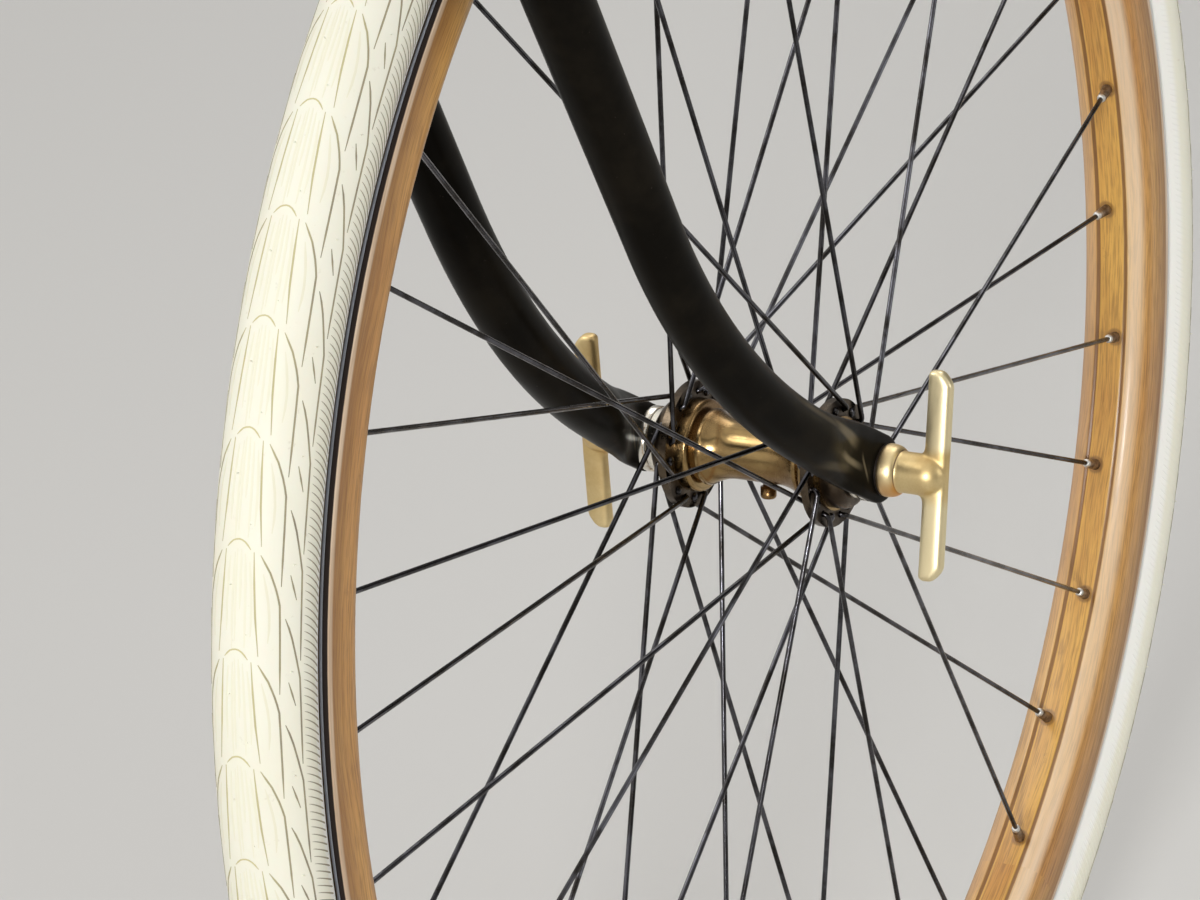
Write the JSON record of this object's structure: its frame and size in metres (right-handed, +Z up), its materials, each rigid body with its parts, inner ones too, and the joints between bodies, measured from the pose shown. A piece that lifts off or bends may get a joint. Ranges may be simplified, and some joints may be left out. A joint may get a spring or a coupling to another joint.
{
  "type": "bicycle front fork with wheel",
  "caption": "Racing bicycle front fork, black and raked, holding a wire-spoked wheel with a wood rim and cream tyre that spins on a brass hub fixed by wing nuts.",
  "frame": {"origin": "on the steering axis at the top face of the crown race, where the head tube's lower bearing sits", "axes": "+X forward, +Y to the rider's left along the axle, +Z up; the steering axis leans back 23 degrees"},
  "size_m": [0.6959, 0.1464, 0.8408],
  "materials": {
    "black_paint": "satin enamel",
    "bright_steel": "bright drawn steel",
    "dark_steel": "darkened steel",
    "nickel": "worn nickel plate",
    "dark_nickel": "tarnished nickel plate",
    "brass": "satin, aged",
    "spoke_black": "black japan with worn glints",
    "nipple_nickel": "dull nickel",
    "rim_wood": "varnished, honey brown",
    "cream_tyre": "cream rubber, matt"
  },
  "bodies": {
    "fork": {"steerer_tube": "bright_steel", "crown_race": "bright_steel", "fork_crown": "black_paint", "blade_right": "black_paint", "blade_left": "black_paint", "axle": "bright_steel", "cone_right": "nickel", "cone_left": "nickel", "lock_nut_right": "nickel", "lock_nut_left": "nickel", "washer_right": "dark_steel", "washer_left": "dark_steel", "wing_nut_right": "brass", "wing_nut_left": "brass"},
    "wheel": {"hub_barrel": "brass", "hub_flange_right": "dark_nickel", "hub_flange_left": "dark_nickel", "dust_cap_right": "dark_nickel", "dust_cap_left": "dark_nickel", "oil_cap": "brass", "spokes_right_outer": "spoke_black", "spokes_right_inner": "spoke_black", "spokes_left_outer": "spoke_black", "spokes_left_inner": "spoke_black", "nipples_right": "nipple_nickel", "nipples_left": "nipple_nickel", "rim": "rim_wood", "tyre": "cream_tyre", "valve_stem": "nickel", "valve_nut": "nickel"}
  },
  "joints": [
    {"name": "wheel_spin", "type": "hinge", "parent": "fork", "child": "wheel", "pos_m": [0.20652, 0, -0.33605], "axis": [0, 1, 0], "continuous": true}
  ]
}
